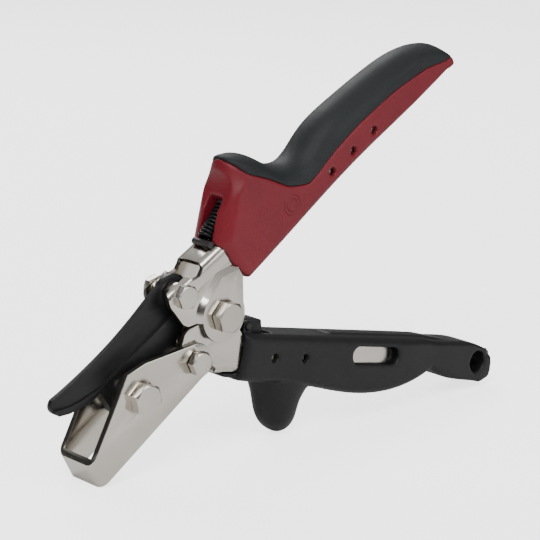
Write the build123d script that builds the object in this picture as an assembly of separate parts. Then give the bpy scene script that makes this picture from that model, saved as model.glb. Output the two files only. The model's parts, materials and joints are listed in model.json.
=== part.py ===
from build123d import *
import math
import os

# Compound-leverage notching pliers. They stand on the die's nose, the finger guard and the rear
# end of the lower handle. X runs from the blade's tip (-) to the handles (+), Y is the width and
# Z is up. The origin is under the middle of the tool. Lengths are millimetres, angles degrees.

# ---- linkage -------------------------------------------------------------------------------
main_pivot_x = -47.344
main_pivot_z = 66.4
upper_axis_deg = 31.0        # direction of the upper handle from the main pivot
lower_axis_deg = -11.0       # direction of the lower handle
link_arm = 24.5              # main pivot to each link pivot
link_arm_deg = 120.0         # angle from a handle's axis to its link pivot
die_arm = 32.6               # lower link pivot to jaw pivot
blade_arm = 48.2             # upper link pivot to jaw pivot

# ---- sheet, widths and clearances ----------------------------------------------------------
frame_width = 18.4           # outside width of both stamped channels
frame_sheet = 2.3
die_sheet = 3.0
plate_clearance = 0.3        # between plates that slide on each other
running_clearance = 0.05     # radial, a bolt in a piece that turns on it
fixed_clearance = 0.1        # radial, a bolt or pin in a piece that doesn't turn on it
blade_thickness = 6.0        # cutting body
spine_thickness = 2.6        # thin web above the ledge
link_slot_clearance = 0.65   # radial, for the linkage's small change of length

# ---- fasteners -----------------------------------------------------------------------------
m8_radius = 4.0
m8_head_flats = 13.0
m8_head_height = 5.3
m6_radius = 3.0
m6_head_flats = 10.0
m6_head_height = 4.0
nut_height = 4.0
m8_end_length = 1.3          # thread standing out of a nut
m6_end_length = 1.0
hex_face_share = 0.475       # flat end of heads and nuts, radius as a share of the flats
hex_chamfer = 0.8            # depth of their conical chamfer
hex_chamfer_deg = 60.0       # its half angle
upper_link_end_length = 2.8
bush_wall = 2.4
jaw_spacer_radius = 8.3

# ---- stamped frames, in handle axes: along the handle, and across it away from the other ----
crown_height = 27.2          # main pivot to the channel's back
crown_front = 3.5            # where the channel's back begins
mouth_depth = 4.3            # dip in the sides in front of the channel's back
lobe_radius = 8.3
front_corner_along = -17.2
split_deg = 157.0            # the sides are cut along this ray, clear of the other frame
hub_radius = 11.0            # inner frame round the main pivot
pad_radius = 12.2            # raised pad of the outer frame round the main pivot
joggle_width = 2.3
tang_depth = 14.2            # height of the channel's sides inside a handle
tang_start = 15.0
lower_tang_end = 112.0
upper_tang_end = 124.0
frame_bend_radius = 3.4
frame_corner_radius = 3.0

# ---- die, measured from the jaw pivot ----------------------------------------------------
die_bend_radius = 4.4
die_lobe_radius = 8.5
nose_foot_along = -21.5
nose_foot_down = 37.37
nose_band_length = 12.5      # height of the nose band, along its slope
nose_lean_deg = 118.5        # the band's slope from its foot
rim_plate_along = -24.2      # where the side plates' sloping front edges begin and end
rim_plate_down = 20.6
rim_top_along = -8.1
rim_top_up = 11.6
die_top_along = 1.8
die_top_up = 15.2

# ---- blade, measured from the jaw pivot -----------------------------------------------------
blade_reach = 40.9
blade_tip_up = 0.2
blade_tail_radius = 8.6
blade_boss_radius = 11.0

# ---- handles -------------------------------------------------------------------------------------
handle_width = 25.0
handle_end_width = 20.0
handle_start = 16.0
lower_bow = 1.5              # how far the front end is rounded in plan
upper_bow = 9.0
lower_edge_round = 4.0
upper_edge_round = 3.4
lower_length = 190.0
upper_length = 177.0
lower_inner_edge = 8.3       # lower handle's straight inner edge, across from the main pivot
rib_width = 9.0              # raised rib along the lower handle's inner edge
rib_height = 0.9
rib_start = 70.0
rib_end = 178.0
horn_slope_deg = 46.0        # the upper handle's front, above the frame
horn_start = 12.0
belly_reach = 36.1
lip_start = 8.0              # lip under the lower frame
lip_half = 8.0
grip_thickness = 3.2
grip_ridge_wall = 0.8
grip_reach = 37.8
pin_radius = 1.9
pin_sink = 2.6               # how deep a pin's end lies under the handle's side
hang_hole_radius = 5.5
hang_hole_along = 178.2
hang_hole_across = 19.2
window_length = 31.5
window_height = 8.4
window_along = 102.0
window_across = 16.8

# ---- return spring and latch -------------------------------------------------------------------------
spring_radius = 4.1
spring_wall = 1.1
spring_length = 17.6
spring_tilt_deg = 19.5
spring_side_clearance = 0.4
spring_pin_radius = 1.6
spring_pin_along = 13.6
spring_pin_length = 12.0
spring_slot_start = 11.5
spring_button_height = 1.5
latch_pin_along = 19.0
latch_pin_across = 5.0
latch_pin_radius = 1.6
latch_ear_radius = 2.7
latch_ear_width = 3.0
latch_width = 10.0
latch_length = 18.4
latch_height = 8.0

# ---- worked out from the sizes above ------------------------------------------------------------------
reach = 400.0                # longer than the tool, for cutting shapes
frame_half = frame_width / 2
frame_inner = frame_half - frame_sheet
pad_inner = frame_half + plate_clearance
pad_outer = pad_inner + frame_sheet
die_inner = frame_half + plate_clearance
die_outer = die_inner + die_sheet
blade_half = blade_thickness / 2
spine_half = spine_thickness / 2
handle_half = handle_width / 2
tang_inner_edge = crown_height - tang_depth


def polar(radius, degrees):
    return radius * math.cos(math.radians(degrees)), radius * math.sin(math.radians(degrees))


def from_pivot(radius, degrees):
    along, across = polar(radius, degrees)
    return main_pivot_x + along, main_pivot_z + across


def circles_meet(x1, z1, r1, x2, z2, r2):
    """The meeting point of two circles that lies towards the blade's tip."""
    dx = x2 - x1
    dz = z2 - z1
    gap = math.hypot(dx, dz)
    along = (r1 ** 2 - r2 ** 2 + gap ** 2) / (2 * gap)
    off = math.sqrt(r1 ** 2 - along ** 2)
    meets = [
        (x1 + (along * dx + side * off * dz) / gap, z1 + (along * dz - side * off * dx) / gap)
        for side in (-1, 1)
    ]
    return min(meets)


upper_link_x, upper_link_z = from_pivot(link_arm, upper_axis_deg + link_arm_deg)
lower_link_x, lower_link_z = from_pivot(link_arm, lower_axis_deg - link_arm_deg)
jaw_pivot_x, jaw_pivot_z = circles_meet(
    lower_link_x, lower_link_z, die_arm, upper_link_x, upper_link_z, blade_arm
)
link_along, link_across = polar(link_arm, link_arm_deg)
jaw_plane = Plane(origin=(jaw_pivot_x, 0, jaw_pivot_z), x_dir=(1, 0, 0), z_dir=(0, -1, 0))


def handle_plane(degrees, outward):
    """Side plane of one handle: x along the handle, y across it, away from the other handle."""
    along_x, along_z = polar(1, degrees)
    origin = (main_pivot_x, 0, main_pivot_z)
    return Plane(origin=origin, x_dir=(along_x, 0, along_z), z_dir=(0, -outward, 0))


upper_plane = handle_plane(upper_axis_deg, 1)
lower_plane = handle_plane(lower_axis_deg, -1)
spring_foot_along = spring_pin_along + polar(spring_pin_radius, spring_tilt_deg)[0]
spring_foot_across = crown_height + spring_pin_radius + polar(spring_pin_radius, spring_tilt_deg)[1]
spring_place = Pos(spring_foot_along, spring_foot_across) * Rot(0, 0, spring_tilt_deg)
spring_plane = Plane(upper_plane.location * spring_place)


def slab(plane, face, half):
    """A flat outline made solid, to the same depth on both sides of the middle plane."""
    return extrude(plane * face, amount=half, both=True)


def layers(plane, face, inner, outer):
    """Two like plates of one outline, which lie from inner to outer on both sides."""
    return slab(plane, face, outer) - slab(plane, face, inner)


def disc(along, across, radius):
    return Pos(along, across) * Circle(radius)


def polygon(*points):
    return make_face(Polyline(*points, close=True))


def place_in(plane, along, across):
    point = plane.from_local_coords((along, across, 0))
    return point.X, point.Z


def cross_rod(x, z, radius, y_from, y_to):
    """A round bar across the tool."""
    seat = Plane(origin=(x, y_from, z), x_dir=(1, 0, 0), z_dir=(0, 1, 0))
    return extrude(seat * Circle(radius), amount=y_to - y_from)


def cross_tube(x, z, inner_radius, outer_radius, y_from, y_to):
    bar = cross_rod(x, z, outer_radius, y_from, y_to)
    return bar - cross_rod(x, z, inner_radius, y_from - 1, y_to + 1)


def cross_hex(x, z, flats, y_inner, y_outer, turn):
    """A hexagonal block across the tool, with a conical chamfer round its outer end."""
    way = math.copysign(1, y_outer - y_inner)
    length = abs(y_outer - y_inner)
    seat = Plane(origin=(x, y_outer, z), x_dir=(1, 0, 0), z_dir=(0, -way, 0))
    shape = Rot(0, 0, turn) * RegularPolygon(flats / 2, 6, major_radius=False)
    cone = extrude(seat * Circle(flats * hex_face_share), amount=hex_chamfer, taper=-hex_chamfer_deg)
    rest = extrude(seat.offset(hex_chamfer) * Circle(flats), amount=length)
    return extrude(seat * shape, amount=length) & (cone + rest)


# ---- fasteners -------------------------------------------------------------------------------
def hex_bolt(x, z, radius, flats, head_height, end_length, seat, turn):
    """Its head stands on the near side at -seat and its nut on the far side at +seat."""
    head = cross_hex(x, z, flats, -seat, -seat - head_height, turn)
    shank = cross_rod(x, z, radius, -seat, seat + nut_height + end_length)
    end = shank.edges().sort_by(Axis.Y)[-1]
    return head + chamfer(end, radius / 5)


def m8_bolt(x, z, seat, turn):
    return hex_bolt(x, z, m8_radius, m8_head_flats, m8_head_height, m8_end_length, seat, turn)


def m6_bolt(x, z, seat, turn):
    return hex_bolt(x, z, m6_radius, m6_head_flats, m6_head_height, m6_end_length, seat, turn)


def hex_nut(x, z, radius, flats, seat, turn):
    nut = cross_hex(x, z, flats, seat, seat + nut_height, turn)
    return nut - cross_rod(x, z, radius + running_clearance, seat - 1, seat + nut_height + 1)


def build_main_pivot_bolt():
    return m8_bolt(main_pivot_x, main_pivot_z, pad_outer + plate_clearance, 12)


def build_main_pivot_nut():
    seat = pad_outer + plate_clearance
    return hex_nut(main_pivot_x, main_pivot_z, m8_radius, m8_head_flats, seat, 25)


def build_main_pivot_bush():
    bore = m8_radius + fixed_clearance
    return cross_tube(main_pivot_x, main_pivot_z, bore, bore + bush_wall, -frame_inner, frame_inner)


def build_lower_link_bolt():
    return m6_bolt(lower_link_x, lower_link_z, die_outer + plate_clearance, 5)


def build_lower_link_nut():
    seat = die_outer + plate_clearance
    return hex_nut(lower_link_x, lower_link_z, m6_radius, m6_head_flats, seat, 15)


def build_lower_link_bush():
    bore = m6_radius + fixed_clearance
    return cross_tube(lower_link_x, lower_link_z, bore, bore + bush_wall, -frame_inner, frame_inner)


def build_upper_link_bolt():
    return hex_bolt(upper_link_x, upper_link_z, m6_radius, m6_head_flats, m6_head_height,
                    upper_link_end_length, frame_half, 8)


def build_upper_link_nut():
    return hex_nut(upper_link_x, upper_link_z, m6_radius, m6_head_flats, frame_half, 20)


def spacer_pair(x, z, bore, outer_radius, half, seat):
    """Two rings that centre the blade, half thick on each side, between two plates."""
    near = cross_tube(x, z, bore, outer_radius, -seat, -half - plate_clearance)
    far = cross_tube(x, z, bore, outer_radius, half + plate_clearance, seat)
    return Compound([near, far])


def build_upper_link_spacers():
    bore = m6_radius + fixed_clearance
    return spacer_pair(upper_link_x, upper_link_z, bore, bore + bush_wall, spine_half, frame_inner)


def build_jaw_pivot_bolt():
    return m8_bolt(jaw_pivot_x, jaw_pivot_z, die_outer, 18)


def build_jaw_pivot_nut():
    return hex_nut(jaw_pivot_x, jaw_pivot_z, m8_radius, m8_head_flats, die_outer, 3)


def build_jaw_pivot_spacers():
    bore = m8_radius + fixed_clearance
    return spacer_pair(jaw_pivot_x, jaw_pivot_z, bore, jaw_spacer_radius, blade_half, die_inner)


# ---- stamped frames ----------------------------------------------------------------------------
def frame_side(tang_end, throat):
    """Side of a stamped channel: link lobe, throat edge near the main pivot, mouth and tang."""
    corner_across = -front_corner_along * math.tan(math.radians(180 - split_deg))
    web = polygon(
        (link_along - lobe_radius, link_across),
        (front_corner_along - 1.8, corner_across + 2.6),
        (front_corner_along, corner_across),
        (0, 0),
        *throat,
        (tang_start, crown_height),
        (crown_front, crown_height),
        (crown_front - 1.1, crown_height - mouth_depth * 0.6),
        (crown_front - 4.1, crown_height - mouth_depth),
        (link_along + lobe_radius * 0.7, link_across + lobe_radius * 0.37),
    )
    corners = [v for v in web.vertices() if v.Y < corner_across + 3 and v.X < front_corner_along + 1]
    tang = polygon(
        (tang_start - 1, tang_inner_edge),
        (tang_end, tang_inner_edge),
        (tang_end, crown_height),
        (tang_start - 1, crown_height),
    )
    return fillet(corners, frame_corner_radius / 2) + disc(link_along, link_across, lobe_radius) + tang


def bent_bar(plane, half, height, radius, start, end):
    """A bar along a handle with the two rounded upper edges of bent sheet."""
    outline = polygon((-half, -reach), (half, -reach), (half, height), (-half, height))
    section = fillet([v for v in outline.vertices() if v.Y > 0], radius)
    seat = Plane(origin=plane.origin, x_dir=-plane.z_dir, z_dir=plane.x_dir)
    return extrude(seat.offset(start) * section, amount=end - start)


def channel(plane, side, tang_end):
    """A stamped channel: two sides, joined by a back that starts behind the mouth."""
    outer = bent_bar(plane, frame_half, crown_height, frame_bend_radius, -reach, tang_end + 1)
    inner_radius = frame_bend_radius - frame_sheet
    inner = bent_bar(plane, frame_inner, crown_height - frame_sheet, inner_radius, -reach, tang_end + 2)
    front = polygon((-reach, -reach), (crown_front, -reach), (crown_front, reach), (-reach, reach))
    return (slab(plane, side, frame_half) & outer) - inner - slab(plane, front, frame_inner)


def pin_bars(plane, places, radius, half):
    bars = []
    for along, across in places:
        x, z = place_in(plane, along, across)
        bars.append(cross_rod(x, z, radius, -half, half))
    return bars


def lower_pin_places():
    return [(35.4, 18.9), (54.8, 18.8)]


def upper_pin_places():
    return [(85.0, 16.6), (100.5, 17.0), (116.0, 17.4)]


def build_lower_frame():
    throat = [(hub_radius, 4.4), (tang_start + 0.8, 9.5), (tang_start + 0.8, tang_inner_edge + 1)]
    side = frame_side(lower_tang_end, throat) + disc(0, 0, hub_radius)
    frame = channel(lower_plane, side, lower_tang_end)
    frame -= cross_rod(main_pivot_x, main_pivot_z, m8_radius + fixed_clearance, -reach, reach)
    frame -= cross_rod(lower_link_x, lower_link_z, m6_radius + fixed_clearance, -reach, reach)
    frame -= pin_bars(lower_plane, lower_pin_places(), pin_radius + fixed_clearance, reach)
    return frame


def pad_outline():
    """Raised pad of the upper frame round the main pivot, with its free lower right edge."""
    wing = polygon(
        (-2, pad_radius), (7.8, 16), (tang_start + 2.6, 13.2), (tang_start + 2.8, 8.8), (9.0, -7.6), (0, 0)
    )
    return disc(0, 0, pad_radius) + wing


def raised_side(plane, rim):
    """The near side's raised block, whose edges slope in from the rim to the pad."""
    height = pad_outer - frame_inner
    slope_deg = math.degrees(math.atan2(joggle_width, pad_outer - frame_half))
    low = extrude(plane.offset(frame_inner) * rim, amount=frame_half - frame_inner)
    high = extrude(plane.offset(frame_half) * rim, amount=height - frame_sheet, taper=slope_deg)
    return low + high


def build_upper_frame():
    """Its sides step outwards round the main pivot, to lie outside the lower frame."""
    pad = pad_outline()
    side = frame_side(upper_tang_end, [(tang_start, tang_inner_edge - 3)])
    rim = offset(pad, joggle_width, kind=Kind.INTERSECTION)
    frame = channel(upper_plane, side, upper_tang_end) - slab(upper_plane, pad, reach)
    raised = raised_side(upper_plane, rim) + raised_side(upper_plane, rim).mirror(Plane.XZ)
    raised &= slab(upper_plane, side + pad, reach)
    frame += raised - slab(upper_plane, pad, pad_inner)
    frame -= cross_rod(main_pivot_x, main_pivot_z, m8_radius + running_clearance, -reach, reach)
    frame -= cross_rod(upper_link_x, upper_link_z, m6_radius + fixed_clearance, -reach, reach)
    frame -= pin_bars(upper_plane, upper_pin_places(), pin_radius + fixed_clearance, reach)
    return frame - spring_slot()


def spring_slot():
    half_height = spring_radius + spring_side_clearance
    top = spring_length + spring_button_height
    back = -2 * spring_radius
    cut = polygon((back, -half_height), (top, -half_height), (top, reach), (back, reach))
    front_x = spring_slot_start - reach
    end_x = spring_slot_start
    keep = polygon((front_x, -reach), (end_x, -reach), (end_x, reach), (front_x, reach))
    return slab(spring_plane, cut, half_height) - slab(upper_plane, keep, reach)


# ---- die and blade -----------------------------------------------------------------------------
def in_jaw(x, z):
    """A point of the linkage, measured from the jaw pivot."""
    return x - jaw_pivot_x, z - jaw_pivot_z


def jaw_bore(radius):
    return cross_rod(jaw_pivot_x, jaw_pivot_z, radius, -reach, reach)


def build_die_frame():
    """U-shaped die: two side plates joined by a nose band, open above and below."""
    foot = (nose_foot_along, -nose_foot_down)
    band = polar(nose_band_length, nose_lean_deg)
    rim = (foot[0] + band[0], foot[1] + band[1])
    link = in_jaw(lower_link_x, lower_link_z)
    gap = math.hypot(link[0] - foot[0], link[1] - foot[1])
    slope = math.degrees(math.atan2(link[1] - foot[1], link[0] - foot[0]))
    tangent = polar(die_lobe_radius, slope - math.degrees(math.acos(die_lobe_radius / gap)))
    side = polygon(
        foot,
        (link[0] + tangent[0], link[1] + tangent[1]),
        (link[0], link[1] + die_lobe_radius),
        (die_top_along, die_top_up),
        (rim_top_along, rim_top_up),
        (rim_plate_along, -rim_plate_down),
        rim,
    )
    block = slab(jaw_plane, side + disc(*link, die_lobe_radius), die_outer)
    bends = [
        e for e in block.edges().filter_by(GeomType.LINE)
        if abs(abs(e.center().Y) - die_outer) < 0.01
        and abs(e.center().X - jaw_pivot_x - foot[0] - band[0] / 2) < 0.01
    ]
    block = fillet(bends, die_bend_radius)
    step = polar(die_sheet, nose_lean_deg - 90)
    far = polar(reach, nose_lean_deg)
    hollow = polygon(
        (foot[0] + step[0] - far[0], foot[1] + step[1] - far[1]),
        (reach, foot[1] + step[1] - far[1]),
        (reach, foot[1] + step[1] + far[1]),
        (foot[0] + step[0] + far[0], foot[1] + step[1] + far[1]),
    )
    die = block - slab(jaw_plane, hollow, die_inner) - jaw_bore(m8_radius + fixed_clearance)
    return die - cross_rod(lower_link_x, lower_link_z, m6_radius + running_clearance, -reach, reach)


def build_blade():
    """Punch blade: a thick cutting body, and a thin web along its back with the tail."""
    link = in_jaw(upper_link_x, upper_link_z)
    tip = (-blade_reach, blade_tip_up)
    tip_low = (tip[0] + 3.4, tip[1] - 3.8)
    tip_high = (tip[0] + 1.0, tip[1] + 3.2)
    tail_top = (link[0] - 0.5, link[1] + blade_tail_radius - 0.1)
    tail_back = (link[0] + blade_tail_radius - 0.1, link[1] - 1.4)
    back = (31.0, 27.0)
    body = polygon(
        (tip[0] + 1.6, tip[1] - 1.2), tip_low, (tip[0] + 8.8, tip[1] - 3.6), (-21.7, -1.4), (-15.3, 2.8),
        (-9.3, -6.8), (-4.9, -10.0), (0, -blade_boss_radius), (blade_boss_radius, 0), (21, 6), (25.5, 17),
        back, (31.6, 30.0), (28.0, 32.0), (23.4, 30.5), (11.6, 22.6), (0.5, 15.5), (-9.3, 8.5),
        (-15.9, 4.7), (-26.6, 0.9), (tip[0] + 9.0, tip[1] - 0.6),
    )
    web = make_face([
        Spline(tip_high, (-23.4, 12.8), (-1.7, 28.1), (12.1, 40.1), (18.8, 45.8), tail_top),
        Polyline(tail_top, tail_back, back, (11.6, 18.6), (-9.3, 4.6), (-26.6, -0.6), tip_low),
        Spline(tip_low, tip, tip_high),
    ])
    web += disc(*link, blade_tail_radius)
    blade = slab(jaw_plane, body + disc(0, 0, blade_boss_radius), blade_half)
    blade += slab(jaw_plane, web, spine_half)
    blade -= jaw_bore(m8_radius + running_clearance)
    return blade - cross_rod(upper_link_x, upper_link_z, m6_radius + link_slot_clearance, -reach, reach)


# ---- handles -------------------------------------------------------------------------------------
def handle_plan(front, bow, length):
    """Plan of a handle: a rounded front end, and sides that draw in towards the rear end."""
    wide = handle_half + 0.2
    end_half = handle_end_width / 2
    return make_face([
        ThreePointArc((front + bow, -wide), (front, 0), (front + bow, wide)),
        Line((front + bow, wide), (length * 0.6, wide)),
        Spline((length * 0.6, wide), (length * 0.85, end_half + 1), (length + 1, end_half)),
        Line((length + 1, end_half), (length + 1, -end_half)),
        Spline((length + 1, -end_half), (length * 0.85, -end_half - 1), (length * 0.6, -wide)),
        Line((length * 0.6, -wide), (front + bow, -wide)),
    ])


def handle_block(plane, face, edge_round):
    """A handle's side outline, rounded along its edges."""
    block = slab(plane, face, handle_half)
    rims = [e for e in block.edges() if abs(abs(e.center().Y) - handle_half) < 0.01]
    return fillet(rims, edge_round)


def plan_plane(plane, across):
    origin = plane.from_local_coords((0, across, 0))
    return Plane(origin=origin, x_dir=plane.x_dir, z_dir=plane.y_dir)


def lower_outline():
    edge = lower_inner_edge
    end_top = (lower_length - 1.8, edge + 7.0)
    end_low = (lower_length - 0.6, edge + 18.5)
    heel = (lower_length - 6.5, 30.0)
    waist = (144.3, 23.1)
    guard_front = (30, 31.2)
    return make_face([
        Polyline((handle_start, edge), (139, edge)),
        Spline((139, edge), (165, edge + 0.9), (181, edge + 3.2), end_top),
        ThreePointArc(end_top, (lower_length, edge + 13.2), end_low),
        Line(end_low, heel),
        Spline(heel, (170.5, 29), (149.3, 25.6), waist),
        Spline(waist, (129, 31), (96.5, belly_reach), (80, 35.0), (62, 32.6), guard_front),
        Polyline(guard_front, (handle_start, 30.3), (handle_start, edge)),
    ])


def build_guard():
    """Finger guard: a flattened horn under the lower handle, oval in every section."""
    stations = [
        (28.0, 51.0, 20.0, 11.4), (32.5, 51.0, 17.6, 10.6), (37.2, 51.2, 14.9, 9.6), (42.5, 51.4, 12.7, 9.0),
        (49.0, 52.5, 10.6, 8.0), (53.2, 53.4, 7.7, 6.0), (55.6, 54.4, 4.2, 3.2), (56.5, 54.6, 1.6, 1.3),
    ]
    sections = [
        plan_plane(lower_plane, across) * Pos(along, 0) * Ellipse(half_length, half_width)
        for across, along, half_length, half_width in stations
    ]
    return loft(sections)


def build_lower_handle_moulding(frame):
    hole_x, hole_z = place_in(lower_plane, hang_hole_along, hang_hole_across)
    block = handle_block(lower_plane, lower_outline(), lower_edge_round)
    block -= cross_rod(hole_x, hole_z, hang_hole_radius, -reach, reach)
    plan = handle_plan(handle_start - 2 * lower_edge_round, lower_bow, lower_length)
    blank = block & extrude(plan_plane(lower_plane, 0) * plan, amount=reach, both=True)
    lip_end = handle_start + 14
    lip = polygon((lip_start, 27.2), (lip_end, 27.2), (lip_end, 30.4), (lip_start + 1, 29.2))
    blank += build_guard()
    blank += slab(lower_plane, lip, lip_half)
    pin_x, pin_z = place_in(lower_plane, latch_pin_along, latch_pin_across)
    ear = disc(latch_pin_along, latch_pin_across, latch_ear_radius) + polygon(
        (latch_pin_along - latch_ear_radius, latch_pin_across),
        (latch_pin_along + latch_ear_radius, latch_pin_across),
        (latch_pin_along + latch_ear_radius, lower_inner_edge + lower_edge_round),
        (handle_start, lower_inner_edge + lower_edge_round),
    )
    rib = polygon(
        (rib_start, lower_inner_edge + 2), (rib_start + 6, lower_inner_edge - rib_height),
        (140, lower_inner_edge - rib_height), (rib_end, lower_inner_edge + 3.0),
    )
    blank += slab(lower_plane, rib, rib_width / 2)
    ear_inner = latch_width / 2 + plate_clearance
    blank += layers(lower_plane, ear, ear_inner, ear_inner + latch_ear_width)
    pocket = polygon(
        (handle_start - 1, -reach), (latch_pin_along + latch_length, -reach),
        (latch_pin_along + latch_length, tang_inner_edge - 0.5), (handle_start - 1, tang_inner_edge - 0.5),
    )
    blank -= slab(lower_plane, pocket, ear_inner)
    blank -= cross_rod(pin_x, pin_z, latch_pin_radius + fixed_clearance, -reach, reach)
    blank -= pin_bars(lower_plane, lower_pin_places(), pin_radius + fixed_clearance, reach)
    window = Pos(window_along, window_across) * SlotOverall(window_length, window_height)
    blank -= layers(lower_plane, window, frame_inner, reach)
    return blank - frame


def grip_back(drop):
    """Line of the grip's back from the horn to the end, lowered by drop."""
    points = [
        (44.6, 55.4), (53.0, 48.6), (59.6, 39.0), (70.8, 32.4), (89.4, 36.4), (110, grip_reach),
        (134.2, 36.6), (160, 32.2), (upper_length - 4.6, 25.8),
    ]
    return Spline(*[(along, across - drop) for along, across in points])


def upper_outline():
    back = grip_back(0)
    horn = back @ 0
    end_top = back @ 1
    end_low = (upper_length - 0.8, 8.9)
    heel = (upper_length - 5.6, 12.4)
    nose_top = (36.6, 51.0)
    nose_low = (handle_start - 1, 36.0)
    nose_foot = (handle_start - 1, crown_height + 0.4)
    throat_top = (handle_start + 1.6, 10.2)
    throat_low = (handle_start + 4.8, 4.6)
    return make_face([
        Spline(nose_low, (23.0, 38.4), (31.6, 44.0), nose_top),
        ThreePointArc(nose_top, (39.2, 55.8), horn),
        back,
        ThreePointArc(end_top, (upper_length, 17.0), end_low),
        Line(end_low, heel),
        Spline(heel, (138, 11.4), (100.3, 10.9), (51.3, 7.1), throat_low),
        Polyline(throat_low, throat_top, nose_foot, nose_low),
    ])


def grip_region():
    """All that lies behind the line where the soft grip meets the hard handle."""
    line = Spline((20, 70), (48.9, 43), (59.7, 28.9), (70.7, 22.1), (84.2, 23.4), (110, 26.8),
                  (150.5, 24.2), (190, 12.5))
    return make_face([line, Polyline((190, 12.5), (reach, reach), (20, reach), (20, 70))])


def upper_blank():
    """The upper handle's outer form: its plan runs straight down, and slopes back up the horn."""
    block = handle_block(upper_plane, upper_outline(), upper_edge_round)
    plan = plan_plane(upper_plane, crown_height) * handle_plan(horn_start, upper_bow, upper_length + 8)
    slope = polar(1, horn_slope_deg + upper_axis_deg)
    low = extrude(plan, amount=-reach)
    high = extrude(plan, amount=reach, dir=(slope[0], 0, slope[1]))
    return block & (low + high)


def grip_core():
    """The hard handle's ridge inside the grip, which holds the tang."""
    back = grip_back(grip_thickness)
    face = make_face([back, Polyline(back @ 1, (upper_length, 0), (0, 0), back @ 0)])
    end = polygon((0, -reach), (upper_tang_end + 3, -reach), (upper_tang_end + 3, reach), (0, reach))
    return slab(upper_plane, face & end, frame_half + grip_ridge_wall)


def build_upper_grip(blank):
    return (blank & slab(upper_plane, grip_region(), reach)) - grip_core()


def build_upper_handle_moulding(blank, grip, frame):
    pins = pin_bars(upper_plane, upper_pin_places(), pin_radius + fixed_clearance, reach)
    return blank - grip - spring_slot() - pins - frame - build_spring_foot_pin()


def build_lower_tang_pins():
    return Compound(pin_bars(lower_plane, lower_pin_places(), pin_radius, handle_half - pin_sink))


def build_upper_tang_pins():
    return Compound(pin_bars(upper_plane, upper_pin_places(), pin_radius, handle_half - pin_sink))


# ---- return spring and latch ---------------------------------------------------------------------
def along_spring(radius, start, length):
    x, z = place_in(spring_plane, start, 0)
    seat = Plane(origin=(x, 0, z), x_dir=(0, 1, 0), z_dir=spring_plane.x_dir)
    return extrude(seat * Circle(radius), amount=length)


def build_return_spring():
    inner = along_spring(spring_radius - spring_wall, -1, spring_length + 2)
    return along_spring(spring_radius, 0, spring_length) - inner


def build_spring_button():
    """Seat of the spring's upper end, with a stub inside the coil."""
    cap = along_spring(spring_radius, spring_length, spring_button_height)
    stub = along_spring(spring_radius - spring_wall - spring_side_clearance, spring_length - 5, 5)
    return cap + stub


def build_spring_foot_pin():
    x, z = place_in(upper_plane, spring_pin_along, crown_height + spring_pin_radius)
    return cross_rod(x, z, spring_pin_radius, -spring_pin_length / 2, spring_pin_length / 2)


def build_latch_pin():
    x, z = place_in(lower_plane, latch_pin_along, latch_pin_across)
    half = latch_width / 2 + plate_clearance + latch_ear_width + plate_clearance
    return cross_rod(x, z, latch_pin_radius, -half, half)


def build_latch_lever():
    front = latch_pin_along - 6.2
    top = latch_pin_across - 2.8
    lever = polygon(
        (front, top), (front + latch_length - 2, top), (front + latch_length, top + latch_height - 1),
        (front + 1.4, top + latch_height),
    )
    lever = fillet(lever.vertices(), 1.0)
    x, z = place_in(lower_plane, latch_pin_along, latch_pin_across)
    solid = slab(lower_plane, lever, latch_width / 2)
    return solid - cross_rod(x, z, latch_pin_radius + running_clearance, -reach, reach)


def build_all():
    lower_frame = build_lower_frame()
    upper_frame = build_upper_frame()
    blank = upper_blank()
    grip = build_upper_grip(blank)
    return {
        "lower_frame": lower_frame,
        "lower_handle_moulding": build_lower_handle_moulding(lower_frame),
        "lower_tang_pins": build_lower_tang_pins(),
        "main_pivot_bolt": build_main_pivot_bolt(),
        "main_pivot_nut": build_main_pivot_nut(),
        "main_pivot_bush": build_main_pivot_bush(),
        "lower_link_bolt": build_lower_link_bolt(),
        "lower_link_nut": build_lower_link_nut(),
        "lower_link_bush": build_lower_link_bush(),
        "latch_pin": build_latch_pin(),
        "upper_frame": upper_frame,
        "upper_handle_moulding": build_upper_handle_moulding(blank, grip, upper_frame),
        "upper_grip": grip,
        "upper_tang_pins": build_upper_tang_pins(),
        "upper_link_bolt": build_upper_link_bolt(),
        "upper_link_nut": build_upper_link_nut(),
        "upper_link_spacers": build_upper_link_spacers(),
        "return_spring": build_return_spring(),
        "spring_foot_pin": build_spring_foot_pin(),
        "spring_button": build_spring_button(),
        "die_frame": build_die_frame(),
        "jaw_pivot_bolt": build_jaw_pivot_bolt(),
        "jaw_pivot_nut": build_jaw_pivot_nut(),
        "jaw_pivot_spacers": build_jaw_pivot_spacers(),
        "blade": build_blade(),
        "latch_lever": build_latch_lever(),
    }


os.makedirs("parts", exist_ok=True)
parts = build_all()
for name, solid in parts.items():
    export_step(solid, f"parts/{name}.step")

whole = Compound([solid for solid in parts.values()]).bounding_box()
print("extent", whole.min, whole.max)
print("pivots", (upper_link_x, upper_link_z), (lower_link_x, lower_link_z), (jaw_pivot_x, jaw_pivot_z))
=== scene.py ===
"""Studio model of a pair of notching pliers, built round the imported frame."""
import json
import math

import bpy
from mathutils import Matrix, Vector


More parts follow.
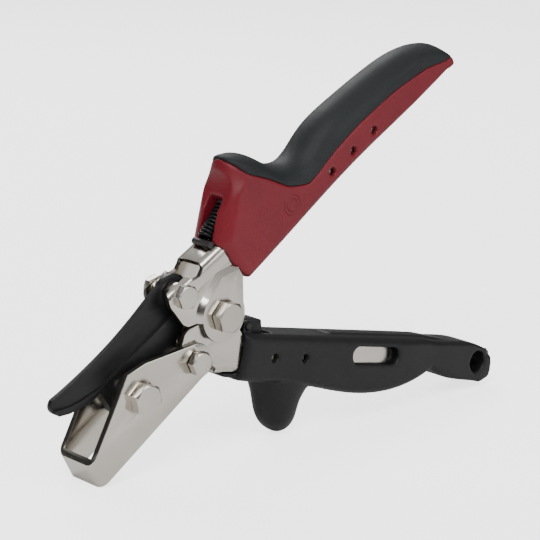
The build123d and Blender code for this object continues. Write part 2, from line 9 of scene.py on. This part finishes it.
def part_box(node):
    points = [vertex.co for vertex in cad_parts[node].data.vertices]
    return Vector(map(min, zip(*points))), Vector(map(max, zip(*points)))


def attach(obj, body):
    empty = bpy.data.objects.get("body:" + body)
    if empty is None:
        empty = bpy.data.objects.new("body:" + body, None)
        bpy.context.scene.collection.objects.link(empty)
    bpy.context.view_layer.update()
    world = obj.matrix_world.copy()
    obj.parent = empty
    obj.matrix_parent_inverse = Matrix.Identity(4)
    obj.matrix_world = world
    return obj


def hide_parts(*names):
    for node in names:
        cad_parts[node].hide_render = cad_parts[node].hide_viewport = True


bl_info = {
    "name": "Notching Pliers",
    "version": (1, 0, 0),
    "blender": (4, 5, 0),
    "location": "3D View > Sidebar > Pliers",
    "description": "Dresses the notching pliers' frame with finished pieces and materials",
    "category": "Add Mesh",
}

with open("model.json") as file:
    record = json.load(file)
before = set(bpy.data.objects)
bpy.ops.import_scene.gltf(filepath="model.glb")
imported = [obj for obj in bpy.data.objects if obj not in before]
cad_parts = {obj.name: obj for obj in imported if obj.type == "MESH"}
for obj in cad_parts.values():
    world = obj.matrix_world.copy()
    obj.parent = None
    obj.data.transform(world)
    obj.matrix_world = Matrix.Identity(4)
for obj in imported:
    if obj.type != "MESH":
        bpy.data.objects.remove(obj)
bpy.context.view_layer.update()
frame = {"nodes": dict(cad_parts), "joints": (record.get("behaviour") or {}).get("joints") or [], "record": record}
joints = {joint["name"]: joint for joint in frame["joints"]}
body_of_node = {n: b for b, ns in frame["record"]["behaviour"]["bodies"].items() for n in ns}
slot_of_node = {part["node"]: part["material_slot"] for part in frame["record"]["subparts"]}

MM = 0.001
UPPER_DEG = 31.0
MAIN_PIVOT = Vector(joints["upper_handle_swing"]["pos_m"])
SPRING_TILT_DEG = 19.5
HANDLE_HALF_WIDTH = 12.5          # millimetres, as are the next values
REAR_LIP_START = 169.0
REAR_LIP_HEIGHT = 12.3
GRIP_BACK = (
    (44.6, 55.4), (53.0, 48.6), (59.6, 39.0), (70.8, 32.4), (89.4, 36.4), (110.0, 37.8),
    (134.2, 36.6), (160.0, 32.2), (172.4, 25.8),
)
FLANK_POWER = 2.2                 # how suddenly the grip's flanks drop
FRAME_SHEET_START = 6.9 * MM      # inner faces of the side plates, from the middle plane
DIE_SHEET_START = 9.5 * MM
CUT_FACE_SLOPE = 0.3              # a cut face's normal hardly leans across the tool
MARK_PLACE = (57, 19)             # roundel on the red handle, along and across it
MARK_RADIUS = 4.8 * MM
WELD_DISTANCE = 0.004 * MM
FLAT_ANGLE_DEG = 0.6
BEVEL_ANGLE_DEG = 28
SMOOTH_ANGLE_DEG = 32


# ---- settings ----------------------------------------------------------------------------------
class PliersSizes(bpy.types.PropertyGroup):
    """Sizes of the finished pieces that the frame leaves open."""

    sheet_edge: bpy.props.FloatProperty(
        name="Sheet Edge", description="Rounding of the stamped plates' edges",
        default=0.35 * MM, unit="LENGTH")
    fastener_edge: bpy.props.FloatProperty(
        name="Fastener Edge", description="Rounding of bolt heads, nuts and rings",
        default=0.22 * MM, unit="LENGTH")
    blade_edge: bpy.props.FloatProperty(
        name="Blade Edge", description="Rounding of the blade's edges",
        default=0.3 * MM, unit="LENGTH")
    skin_grid: bpy.props.FloatProperty(
        name="Skin Grid", description="Grid size of the moulded handles' skin",
        default=0.75 * MM, unit="LENGTH")
    skin_softness: bpy.props.IntProperty(
        name="Skin Softness", description="Smoothing steps that round the moulded handles", default=7)
    crown_drop: bpy.props.FloatProperty(
        name="Crown Drop", description="How far the upper handle's back drops at its flanks",
        default=6.5 * MM, unit="LENGTH")
    crown_band: bpy.props.FloatProperty(
        name="Crown Band", description="Depth of the rounded back in millimetres", default=14.0)
    wire_radius: bpy.props.FloatProperty(
        name="Spring Wire", description="Radius of the spring's wire", default=0.75 * MM, unit="LENGTH")
    spring_turns: bpy.props.IntProperty(
        name="Spring Turns", description="Turns of the return spring", default=9)


class PliersColours(bpy.types.PropertyGroup):
    """Colours of the finishes."""

    nickel: bpy.props.FloatVectorProperty(
        name="Nickel", description="Bright nickel plate", default=(0.60, 0.565, 0.51),
        subtype="COLOR", size=3, min=0, max=1)
    red: bpy.props.FloatVectorProperty(
        name="Red", description="Hard plastic of the upper handle", default=(0.145, 0.009, 0.016),
        subtype="COLOR", size=3, min=0, max=1)
    grip: bpy.props.FloatVectorProperty(
        name="Grip", description="Soft plastic of the grip", default=(0.0105, 0.0125, 0.014),
        subtype="COLOR", size=3, min=0, max=1)
    black: bpy.props.FloatVectorProperty(
        name="Black", description="Hard plastic of the lower handle", default=(0.0075, 0.0075, 0.0085),
        subtype="COLOR", size=3, min=0, max=1)
    oxide: bpy.props.FloatVectorProperty(
        name="Black Oxide", description="Blade and spring", default=(0.010, 0.010, 0.011),
        subtype="COLOR", size=3, min=0, max=1)


def sizes():
    return bpy.context.scene.pliers_sizes


def colours():
    return bpy.context.scene.pliers_colours


# ---- shader node groups ------------------------------------------------------------------------
def add_node(tree, kind, **settings):
    node = tree.nodes.new(kind)
    for key, value in settings.items():
        setattr(node, key, value)
    return node


def new_group(name, inputs, outputs):
    """A shader node group with float inputs, each a (name, default), and float outputs."""
    group = bpy.data.node_groups.new(name, "ShaderNodeTree")
    for label, default in inputs:
        socket = group.interface.new_socket(label, in_out="INPUT", socket_type="NodeSocketFloat")
        socket.default_value = default
    for label in outputs:
        group.interface.new_socket(label, in_out="OUTPUT", socket_type="NodeSocketFloat")
    return group, group.nodes.new("NodeGroupInput"), group.nodes.new("NodeGroupOutput")


def noise_in(group, vector, scale, detail=3.0, stretch=None):
    """Noise on the piece's own coordinates, stretched along one way if asked."""
    if stretch:
        mapping = add_node(group, "ShaderNodeMapping")
        mapping.inputs["Rotation"].default_value = (0, stretch[1], 0)
        mapping.inputs["Scale"].default_value = stretch[0]
        group.links.new(vector, mapping.inputs["Vector"])
        vector = mapping.outputs["Vector"]
    noise = add_node(group, "ShaderNodeTexNoise")
    noise.inputs["Scale"].default_value = scale
    noise.inputs["Detail"].default_value = detail
    group.links.new(vector, noise.inputs["Vector"])
    return noise.outputs["Fac"]


def math_in(group, operation, a, b=None, clamp=False):
    node = add_node(group, "ShaderNodeMath", operation=operation, use_clamp=clamp)
    for socket, value in zip(node.inputs, (a, b)):
        if value is None:
            continue
        if isinstance(value, (int, float)):
            socket.default_value = value
        else:
            group.links.new(value, socket)
    return node.outputs[0]


def range_in(group, value, low, high, to_low, to_high):
    node = add_node(group, "ShaderNodeMapRange")
    node.inputs["From Min"].default_value = low
    node.inputs["From Max"].default_value = high
    for label, end in (("To Min", to_low), ("To Max", to_high)):
        if isinstance(end, (int, float)):
            node.inputs[label].default_value = end
        else:
            group.links.new(end, node.inputs[label])
    group.links.new(value, node.inputs["Value"])
    return node.outputs[0]


def make_handling_group():
    """Handling wear: soft smudges, fine grain and thin scratches, as masks and a height."""
    group, take, give = new_group(
        "Handling Wear",
        [("Smudge Amount", 0.5), ("Scratch Amount", 0.5), ("Grain Amount", 0.3)],
        ["Smudge", "Scratch", "Grain", "Height"])
    place = add_node(group, "ShaderNodeTexCoord").outputs["Object"]
    smudge = range_in(group, noise_in(group, place, 38.0, 4.0), 0.38, 0.66, 0.0, 1.0)
    smudge = math_in(group, "MULTIPLY", smudge, take.outputs["Smudge Amount"])
    lines = noise_in(group, place, 900.0, 2.0, ((0.06, 1.0, 1.0), 0.55))
    cross = noise_in(group, place, 700.0, 2.0, ((0.05, 1.0, 1.3), -0.8))
    both = math_in(group, "MAXIMUM", lines, cross)
    patch = range_in(group, noise_in(group, place, 60.0, 2.0), 0.45, 0.62, 0.0, 1.0)
    scratch = range_in(group, both, 0.68, 0.76, 0.0, 1.0)
    scratch = math_in(group, "MULTIPLY", scratch, patch)
    scratch = math_in(group, "MULTIPLY", scratch, take.outputs["Scratch Amount"])
    grain = math_in(group, "MULTIPLY", noise_in(group, place, 2600.0, 2.0), take.outputs["Grain Amount"])
    height = math_in(group, "SUBTRACT", grain, scratch)
    for label, value in (("Smudge", smudge), ("Scratch", scratch), ("Grain", grain), ("Height", height)):
        group.links.new(value, give.inputs[label])
    return group


def make_mark_group():
    """A plain moulded roundel: two raised rings, at a place in the handle's side."""
    group, take, give = new_group(
        "Moulded Roundel",
        [("Centre X", 0.0), ("Centre Z", 0.0), ("Radius", 6.0 * MM), ("Line", 0.35 * MM)],
        ["Line Mask"])
    place = add_node(group, "ShaderNodeSeparateXYZ")
    group.links.new(add_node(group, "ShaderNodeTexCoord").outputs["Object"], place.inputs[0])
    dx = math_in(group, "SUBTRACT", place.outputs["X"], take.outputs["Centre X"])
    dz = math_in(group, "SUBTRACT", place.outputs["Z"], take.outputs["Centre Z"])
    square_x = math_in(group, "MULTIPLY", dx, dx)
    square_z = math_in(group, "MULTIPLY", dz, dz)
    squares = math_in(group, "ADD", square_x, square_z)
    away = math_in(group, "SQRT", squares)
    ring = math_in(group, "ABSOLUTE", math_in(group, "SUBTRACT", away, take.outputs["Radius"]))
    inner_radius = math_in(group, "MULTIPLY", take.outputs["Radius"], 0.62)
    inner = math_in(group, "ABSOLUTE", math_in(group, "SUBTRACT", away, inner_radius))
    nearest = math_in(group, "MINIMUM", ring, inner)
    share = math_in(group, "DIVIDE", nearest, take.outputs["Line"])
    group.links.new(math_in(group, "SUBTRACT", 1.0, share, clamp=True), give.inputs["Line Mask"])
    return group


# ---- materials ---------------------------------------------------------------------------------
def place_group(tree, group, **values):
    node = add_node(tree, "ShaderNodeGroup", node_tree=group)
    for label, value in values.items():
        node.inputs[label.replace("_", " ")].default_value = value
    return node


def new_material(name):
    material = bpy.data.materials.new(name)
    material.use_nodes = True
    tree = material.node_tree
    return material, tree, tree.nodes["Principled BSDF"]


def mix_colours(tree, share, first, second):
    """Mixes two colours by share; the first may be a fixed colour or another node's output."""
    mix = add_node(tree, "ShaderNodeMix", data_type="RGBA")
    if isinstance(first, bpy.types.NodeSocket):
        tree.links.new(first, mix.inputs[6])
    else:
        mix.inputs[6].default_value = (*first, 1)
    mix.inputs[7].default_value = (*second, 1)
    tree.links.new(share, mix.inputs[0])
    return mix.outputs[2]


def add_bump(tree, surface, height, distance):
    bump = add_node(tree, "ShaderNodeBump")
    bump.inputs["Distance"].default_value = distance
    bump.inputs["Strength"].default_value = 1.0
    tree.links.new(height, bump.inputs["Height"])
    tree.links.new(bump.outputs["Normal"], surface.inputs["Normal"])


def tint(colour, share):
    return tuple(min(1.0, channel * share) for channel in colour)


def worn_metal(name, group, colour, roughness, smudge, scratch, grain, ripple, metallic=1.0):
    """Plated or blackened metal with smudges, thin scratches and a slight ripple."""
    _, tree, surface = new_material(name)
    wear = place_group(tree, group, Smudge_Amount=smudge, Scratch_Amount=scratch, Grain_Amount=grain)
    surface.inputs["Metallic"].default_value = metallic
    dull = mix_colours(tree, wear.outputs["Smudge"], colour, tint(colour, 0.8))
    bright = mix_colours(tree, wear.outputs["Scratch"], dull, tint(colour, 1.35))
    tree.links.new(bright, surface.inputs["Base Color"])
    soft = range_in(tree, wear.outputs["Smudge"], 0.0, 1.0, roughness, roughness + 0.16)
    rough = math_in(tree, "MULTIPLY", wear.outputs["Scratch"], 0.2)
    rough = math_in(tree, "ADD", soft, rough, clamp=True)
    tree.links.new(rough, surface.inputs["Roughness"])
    place = add_node(tree, "ShaderNodeTexCoord").outputs["Object"]
    wave = math_in(tree, "MULTIPLY", noise_in(tree, place, 120.0, 2.0), ripple)
    add_bump(tree, surface, math_in(tree, "ADD", wave, wear.outputs["Height"]), 0.04 * MM)


def moulded_plastic(name, group, colour, roughness, grain, scale, mark_group=None, marks=()):
    """Moulded plastic with a fine spark-eroded grain, rubbed smoother and lighter in patches."""
    _, tree, surface = new_material(name)
    wear = place_group(tree, group, Smudge_Amount=0.7, Scratch_Amount=0.35, Grain_Amount=0.2)
    rubbed = mix_colours(tree, wear.outputs["Smudge"], colour, tint(colour, 1.22))
    scored = mix_colours(tree, wear.outputs["Scratch"], rubbed, tint(colour, 2.0))
    tree.links.new(scored, surface.inputs["Base Color"])
    rough = range_in(tree, wear.outputs["Smudge"], 0.0, 1.0, roughness, roughness - 0.1)
    tree.links.new(rough, surface.inputs["Roughness"])
    surface.inputs["Specular IOR Level"].default_value = 0.28
    place = add_node(tree, "ShaderNodeTexCoord").outputs["Object"]
    cells = add_node(tree, "ShaderNodeTexVoronoi")
    cells.inputs["Scale"].default_value = scale
    tree.links.new(place, cells.inputs["Vector"])
    height = math_in(tree, "MULTIPLY", cells.outputs["Distance"], grain)
    height = math_in(tree, "SUBTRACT", height, math_in(tree, "MULTIPLY", wear.outputs["Scratch"], 0.6))
    for centre, radius in marks:
        mark = place_group(tree, mark_group, Centre_X=centre.x, Centre_Z=centre.z, Radius=radius)
        height = math_in(tree, "ADD", height, math_in(tree, "MULTIPLY", mark.outputs["Line Mask"], 3.0))
    add_bump(tree, surface, height, 0.09 * MM)


def handle_point(degrees, along, across):
    """A point measured along a handle from the main pivot, and across it."""
    turn = math.radians(degrees)
    x = along * math.cos(turn) - across * math.sin(turn)
    z = along * math.sin(turn) + across * math.cos(turn)
    return MAIN_PIVOT + Vector((x, 0, z)) * MM


MATERIAL_NAMES = {
    "plated_steel": "Bright Nickel Plate",
    "plated_fasteners": "Satin Nickel Fasteners",
    "black_oxide_steel": "Black Oxide Steel",
    "spring_steel": "Oiled Spring Steel",
    "cut_edge_and_shade": "Cut Sheet Edge And Painted Shade",
    "red_plastic": "Red Moulding",
    "black_plastic": "Black Moulding",
    "soft_grip": "Soft Grip",
}


def make_materials():
    wear = make_handling_group()
    roundel = make_mark_group()
    tones = colours()
    names = MATERIAL_NAMES
    oxide = tones.oxide
    worn_metal(names["plated_steel"], wear, tones.nickel, 0.16, 0.5, 0.55, 0.05, 0.5)
    worn_metal(names["plated_fasteners"], wear, tones.nickel, 0.2, 0.8, 0.7, 0.25, 0.9)
    worn_metal(names["black_oxide_steel"], wear, oxide, 0.36, 0.9, 0.9, 0.5, 0.8, metallic=0.35)
    worn_metal(names["spring_steel"], wear, tint(oxide, 0.9), 0.3, 0.6, 0.5, 0.2, 0.5, metallic=0.6)
    # Plate edges: nickel darkened to 0.16 is painted shade on the edges; only the higher roughness is the cut
    # sheet's own finish.
    worn_metal(names["cut_edge_and_shade"], wear, tint(tones.nickel, 0.16), 0.42, 0.8, 0.4, 0.9, 1.0)
    marks = [(handle_point(UPPER_DEG, *MARK_PLACE), MARK_RADIUS)]
    moulded_plastic(names["red_plastic"], wear, tones.red, 0.44, 0.5, 1500.0, roundel, marks)
    moulded_plastic(names["black_plastic"], wear, tones.black, 0.46, 0.6, 1300.0)
    moulded_plastic(names["soft_grip"], wear, tones.grip, 0.6, 0.8, 1900.0)


def material_of(slot):
    return bpy.data.materials[MATERIAL_NAMES[slot]]


# ---- modelling helpers -------------------------------------------------------------------------
def deselect_all():
    if bpy.context.object and bpy.context.object.mode != "OBJECT":
        bpy.ops.object.mode_set(mode="OBJECT")
    bpy.ops.object.select_all(action="DESELECT")


def pick(piece):
    deselect_all()
    piece.select_set(True)
    bpy.context.view_layer.objects.active = piece


def apply_modifier(piece, kind, **settings):
    pick(piece)
    modifier = piece.modifiers.new(kind.title(), kind)
    for key, value in settings.items():
        setattr(modifier, key, value)
    bpy.ops.object.modifier_apply(modifier=modifier.name)


def merged_copy(node, name):
    """A copy of a frame node, with its loose triangles merged into whole faces."""
    piece = bpy.data.objects.new(name, frame["nodes"][node].data.copy())
    bpy.context.scene.collection.objects.link(piece)
    pick(piece)
    bpy.ops.object.mode_set(mode="EDIT")
    bpy.ops.mesh.select_all(action="SELECT")
    bpy.ops.mesh.remove_doubles(threshold=WELD_DISTANCE)
    bpy.ops.mesh.dissolve_limited(angle_limit=math.radians(FLAT_ANGLE_DEG))
    bpy.ops.object.mode_set(mode="OBJECT")
    return piece


def smooth_by_angle(piece, degrees):
    pick(piece)
    bpy.ops.object.shade_smooth_by_angle(angle=math.radians(degrees))


def dress(piece, node):
    """Gives a finished piece its node's body and finish."""
    piece.data.materials.clear()
    piece.data.materials.append(material_of(slot_of_node[node]))
    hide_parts(node)
    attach(piece, body_of_node[node])


def edged_piece(node, edge):
    """A plate or fastener with its sharp edges broken."""
    piece = merged_copy(node, node + "_finished")
    apply_modifier(
        piece, "BEVEL", width=edge, segments=2, limit_method="ANGLE",
        angle_limit=math.radians(BEVEL_ANGLE_DEG), harden_normals=False)
    smooth_by_angle(piece, SMOOTH_ANGLE_DEG)
    dress(piece, node)
    return piece


def moulded_piece(node):
    """A handle's moulding: one soft skin, rounded where the frame's node has hard edges."""
    piece = merged_copy(node, node + "_finished")
    apply_modifier(piece, "REMESH", mode="VOXEL", voxel_size=sizes().skin_grid, use_smooth_shade=True)
    apply_modifier(piece, "SMOOTH", factor=0.5, iterations=sizes().skin_softness)
    if body_of_node[node] == "upper_handle":
        crown_back(piece)
    dress(piece, node)
    return piece


def back_height(along):
    """Height of the grip's back over the main pivot, at a place along the handle."""
    if along <= GRIP_BACK[0][0]:
        return GRIP_BACK[0][1]
    for (start, low), (end, high) in zip(GRIP_BACK, GRIP_BACK[1:]):
        if along <= end:
            return low + (high - low) * (along - start) / (end - start)
    return GRIP_BACK[-1][1]


def crown_back(piece):
    """Rounds the upper handle's back across: its flanks drop away from the middle line."""
    turn = math.radians(UPPER_DEG)
    along_axis = Vector((math.cos(turn), 0, math.sin(turn)))
    across_axis = Vector((-math.sin(turn), 0, math.cos(turn)))
    for vertex in piece.data.vertices:
        place = (vertex.co - MAIN_PIVOT) / MM
        share = (place.dot(across_axis) - back_height(place.dot(along_axis))) / sizes().crown_band + 1
        share = min(1.0, max(0.0, share))
        share = share * share * (3 - 2 * share)
        drop = sizes().crown_drop * share * (abs(place.y) / HANDLE_HALF_WIDTH) ** FLANK_POWER
        vertex.co = vertex.co - across_axis * drop
        if place.dot(along_axis) > REAR_LIP_START:
            lip = REAR_LIP_HEIGHT - (vertex.co - MAIN_PIVOT).dot(across_axis) / MM
            vertex.co = vertex.co + across_axis * max(0.0, lip) * MM


def paint_edge_finish_and_shade(piece, inner_half):
    """Gives the edges of the side plates a rougher cut-sheet finish and a far darker colour, which is painted
    shade.
    """
    piece.data.materials.append(material_of("cut_edge_and_shade"))
    for face in piece.data.polygons:
        if abs(face.center.y) > inner_half and abs(face.normal.y) < CUT_FACE_SLOPE:
            # These sideways-facing edge faces take the dark edge material, painted shade with a rougher finish.
            face.material_index = 1


# ---- pieces ------------------------------------------------------------------------------------
class PLIERS_OT_materials(bpy.types.Operator):
    """Make the finishes"""

    bl_idname = "pliers.materials"
    bl_label = "Finishes"

    def execute(self, context):
        make_materials()
        return {"FINISHED"}


class PLIERS_OT_frames(bpy.types.Operator):
    """Finish the two stamped frames"""

    bl_idname = "pliers.frames"
    bl_label = "Stamped Frames"

    def execute(self, context):
        for node in ("lower_frame", "upper_frame"):
            paint_edge_finish_and_shade(edged_piece(node, sizes().sheet_edge), FRAME_SHEET_START)
        return {"FINISHED"}


class PLIERS_OT_die(bpy.types.Operator):
    """Finish the U-shaped die"""

    bl_idname = "pliers.die"
    bl_label = "Die"

    def execute(self, context):
        paint_edge_finish_and_shade(edged_piece("die_frame", sizes().sheet_edge), DIE_SHEET_START)
        return {"FINISHED"}


class PLIERS_OT_blade(bpy.types.Operator):
    """Finish the punch blade"""

    bl_idname = "pliers.blade"
    bl_label = "Blade"

    def execute(self, context):
        edged_piece("blade", sizes().blade_edge)
        return {"FINISHED"}


class PLIERS_OT_fasteners(bpy.types.Operator):
    """Finish bolts, nuts, bushes, pins and rings"""

    bl_idname = "pliers.fasteners"
    bl_label = "Fasteners"

    def execute(self, context):
        for node, slot in slot_of_node.items():
            if slot == "plated_fasteners":
                edged_piece(node, sizes().fastener_edge)
        pin = bpy.data.objects["latch_pin_finished"]
        pin.data.materials[0] = material_of("black_oxide_steel")
        return {"FINISHED"}


class PLIERS_OT_handles(bpy.types.Operator):
    """Make the moulded handles and the soft grip"""

    bl_idname = "pliers.handles"
    bl_label = "Handles"

    def execute(self, context):
        for node in ("lower_handle_moulding", "upper_handle_moulding", "upper_grip"):
            moulded_piece(node)
        edged_piece("latch_lever", sizes().sheet_edge)
        return {"FINISHED"}


class PLIERS_OT_spring(bpy.types.Operator):
    """Wind the return spring"""

    bl_idname = "pliers.spring"
    bl_label = "Return Spring"

    def execute(self, context):
        low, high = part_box("return_spring")
        radius = (high.y - low.y) / 2
        tilt = math.radians(UPPER_DEG + SPRING_TILT_DEG)
        centre = (low + high) / 2
        length = ((high.x - low.x) - 2 * radius * math.sin(tilt)) / math.cos(tilt)
        wire = sizes().wire_radius
        pitch = (length - 2 * wire) / sizes().spring_turns
        deselect_all()
        bpy.ops.mesh.primitive_circle_add(
            vertices=12, radius=wire, location=(radius - wire, 0, 0), rotation=(math.pi / 2, 0, 0))
        piece = bpy.context.object
        piece.name = "return_spring_finished"
        bpy.ops.object.transform_apply(location=True, rotation=True, scale=True)
        apply_modifier(
            piece, "SCREW", axis="Z", angle=math.tau, screw_offset=pitch,
            iterations=sizes().spring_turns, steps=28, render_steps=28,
            use_merge_vertices=True, use_normal_calculate=True)
        bpy.ops.object.mode_set(mode="EDIT")
        bpy.ops.mesh.select_all(action="DESELECT")
        bpy.ops.mesh.select_non_manifold()
        bpy.ops.mesh.edge_face_add()
        bpy.ops.mesh.select_all(action="SELECT")
        bpy.ops.mesh.normals_make_consistent(inside=False)
        bpy.ops.object.mode_set(mode="OBJECT")
        stand = Matrix.Translation(centre) @ Matrix.Rotation(math.pi / 2 - tilt, 4, "Y")
        piece.data.transform(stand @ Matrix.Translation((0, 0, -pitch * sizes().spring_turns / 2)))
        smooth_by_angle(piece, 60)
        dress(piece, "return_spring")
        return {"FINISHED"}


# ---- stage -------------------------------------------------------------------------------------
CAMERA_PLACE = Vector((-0.63054, -0.6869, 0.3092))
CAMERA_AXES = Matrix((
    (0.7452, 0.1455, -0.6508),
    (-0.6665, 0.1930, -0.7201),
    (0.0208, 0.9704, 0.2408),
))


def add_area_light(name, place, target, size, power):
    deselect_all()
    bpy.ops.object.light_add(type="AREA", location=place)
    light = bpy.context.object
    light.name = name
    light.data.size = size
    light.data.energy = power
    light.rotation_euler = (Vector(target) - Vector(place)).to_track_quat("-Z", "Y").to_euler()


def make_world():
    """Soft studio surround: bright above, a darker band in between, white low down."""
    world = bpy.context.scene.world or bpy.data.worlds.new("Studio")
    bpy.context.scene.world = world
    world.use_nodes = True
    tree = world.node_tree
    background = tree.nodes["Background"]
    place = add_node(tree, "ShaderNodeTexCoord").outputs["Generated"]
    split = add_node(tree, "ShaderNodeSeparateXYZ")
    tree.links.new(place, split.inputs[0])
    ramp = add_node(tree, "ShaderNodeValToRGB")
    stops = ((0.0, 0.7), (0.48, 0.75), (0.54, 0.12), (0.66, 0.06), (0.76, 0.8), (1.0, 1.3))
    while len(ramp.color_ramp.elements) < len(stops):
        ramp.color_ramp.elements.new(0.5)
    for element, (where, tone) in zip(ramp.color_ramp.elements, stops):
        element.position = where
        element.color = (tone, tone, tone, 1)
    tree.links.new(range_in(tree, split.outputs["Z"], -1.0, 1.0, 0.0, 1.0), ramp.inputs[0])
    seen = add_node(tree, "ShaderNodeLightPath").outputs["Is Camera Ray"]
    mix = add_node(tree, "ShaderNodeMix", data_type="RGBA")
    tree.links.new(seen, mix.inputs[0])
    tree.links.new(ramp.outputs["Color"], mix.inputs[6])
    mix.inputs[7].default_value = (8, 8, 8, 1)
    tree.links.new(mix.outputs[2], background.inputs["Color"])
    background.inputs["Strength"].default_value = 0.5


class PLIERS_OT_stage(bpy.types.Operator):
    """Set the floor, the lights and the camera"""

    bl_idname = "pliers.stage"
    bl_label = "Stage"

    def execute(self, context):
        deselect_all()
        bpy.ops.mesh.primitive_plane_add(size=8, location=(0, 0, 0))
        floor = bpy.context.object
        floor.name = "studio_floor"
        material, tree, surface = new_material("Pale Floor")
        surface.inputs["Base Color"].default_value = (0.9, 0.9, 0.9, 1)
        surface.inputs["Roughness"].default_value = 0.7
        surface.inputs["Emission Color"].default_value = (1, 1, 1, 1)
        seen = add_node(tree, "ShaderNodeLightPath").outputs["Is Camera Ray"]
        tree.links.new(math_in(tree, "MULTIPLY", seen, 2.2), surface.inputs["Emission Strength"])
        floor.data.materials.append(material)
        make_world()
        add_area_light("Key", (-0.9, -0.7, 1.3), (0, 0, 0.08), 0.9, 22)
        add_area_light("Fill", (0.6, -1.4, 0.7), (0, 0, 0.08), 1.0, 10)
        add_area_light("Rim", (0.5, 1.2, 1.1), (0, 0, 0.08), 0.8, 12)
        camera = bpy.data.objects.new("Camera", bpy.data.cameras.new("Camera"))
        bpy.context.scene.collection.objects.link(camera)
        camera.matrix_world = Matrix.Translation(CAMERA_PLACE) @ CAMERA_AXES.to_4x4()
        camera.data.lens = 138
        camera.data.sensor_width = 36
        bpy.context.scene.camera = camera
        return {"FINISHED"}


class PLIERS_PT_panel(bpy.types.Panel):
    """Lists the sizes, the colours and the pieces"""

    bl_idname = "PLIERS_PT_panel"
    bl_label = "Notching Pliers"
    bl_space_type = "VIEW_3D"
    bl_region_type = "UI"
    bl_category = "Pliers"

    def draw(self, context):
        for group in (context.scene.pliers_sizes, context.scene.pliers_colours):
            for name in group.__annotations__:
                self.layout.prop(group, name)
        for operator in OPERATORS:
            self.layout.operator(operator.bl_idname)


OPERATORS = (
    PLIERS_OT_materials,
    PLIERS_OT_frames,
    PLIERS_OT_die,
    PLIERS_OT_blade,
    PLIERS_OT_fasteners,
    PLIERS_OT_handles,
    PLIERS_OT_spring,
    PLIERS_OT_stage,
)


def register():
    for group in (PliersSizes, PliersColours, *OPERATORS, PLIERS_PT_panel):
        bpy.utils.register_class(group)
    bpy.types.Scene.pliers_sizes = bpy.props.PointerProperty(type=PliersSizes)
    bpy.types.Scene.pliers_colours = bpy.props.PointerProperty(type=PliersColours)


def unregister():
    del bpy.types.Scene.pliers_colours
    del bpy.types.Scene.pliers_sizes
    for group in reversed((PliersSizes, PliersColours, *OPERATORS, PLIERS_PT_panel)):
        bpy.utils.unregister_class(group)


def main():
    register()
    bpy.ops.pliers.materials()
    bpy.ops.pliers.frames()
    bpy.ops.pliers.die()
    bpy.ops.pliers.blade()
    bpy.ops.pliers.fasteners()
    bpy.ops.pliers.handles()
    bpy.ops.pliers.spring()
    bpy.ops.pliers.stage()


if __name__ == "__main__":
    main()
